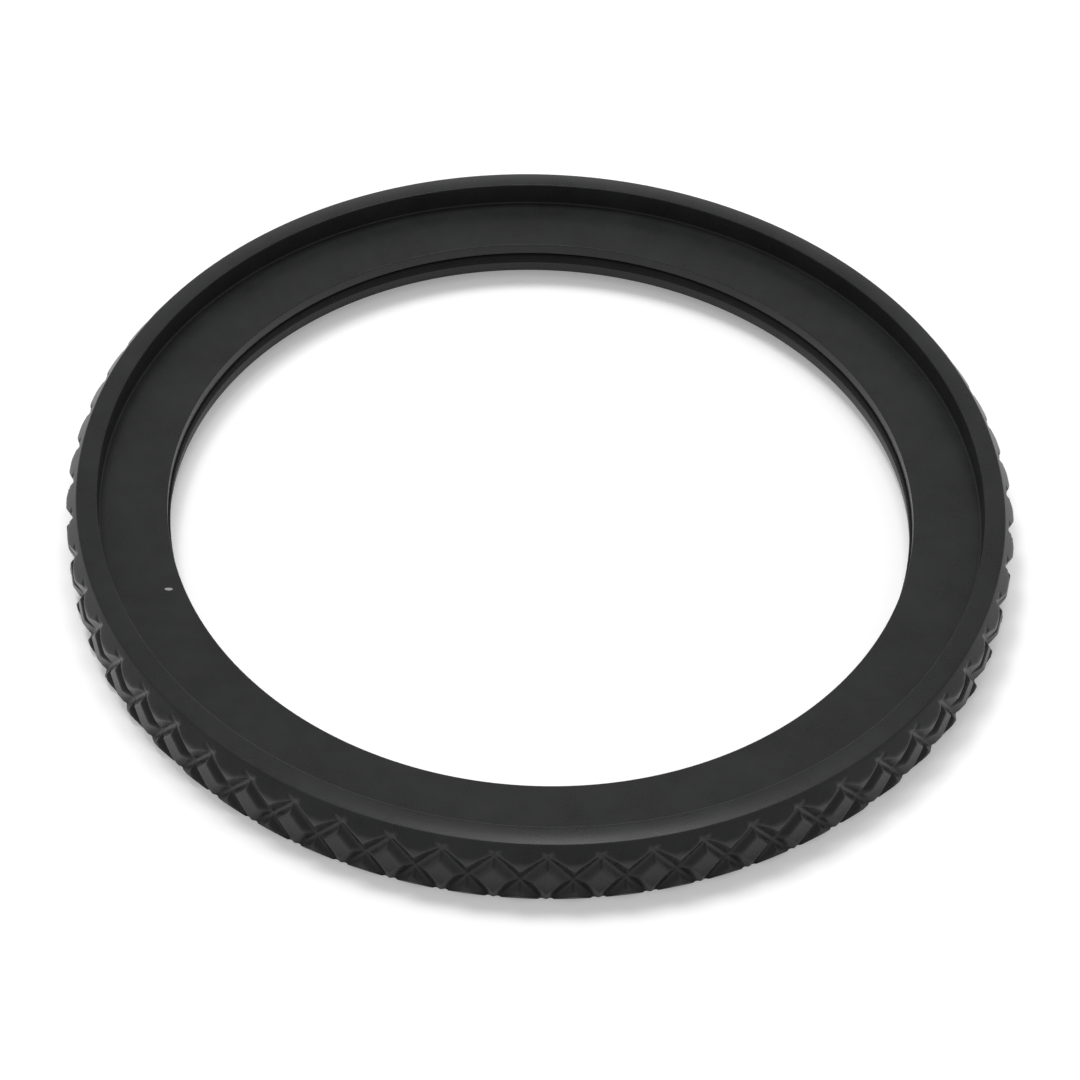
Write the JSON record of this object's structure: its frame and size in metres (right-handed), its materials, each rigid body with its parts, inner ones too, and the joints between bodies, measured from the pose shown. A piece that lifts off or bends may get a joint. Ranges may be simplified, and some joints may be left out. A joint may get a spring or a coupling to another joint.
{
  "type": "rotating watch bezel",
  "caption": "Knurled rotating bezel ring for a dive watch, with a recess for a flat insert, a ratchet underside and a retaining gasket in its bore.",
  "frame": {"origin": "centre of the ring, on the plane that the skirt's foot stands on", "axes": "+Z along the axis of rotation, from the case towards the wearer; +X through the middle of one knurl diamond"},
  "size_m": [0.0408, 0.0408, 0.0032],
  "materials": {
    "coated_steel": "steel, bead blasted and coated matte black",
    "black_polymer": "moulded black polymer with a dull skin"
  },
  "bodies": {
    "gasket": {"retaining_gasket": "black_polymer"},
    "bezel": {"bezel_ring": "coated_steel"}
  },
  "joints": [
    {"name": "bezel_turn", "type": "hinge", "parent": "gasket", "child": "bezel", "pos_m": [0, 0, 0.00135], "axis": [0, 0, 1], "continuous": true}
  ]
}
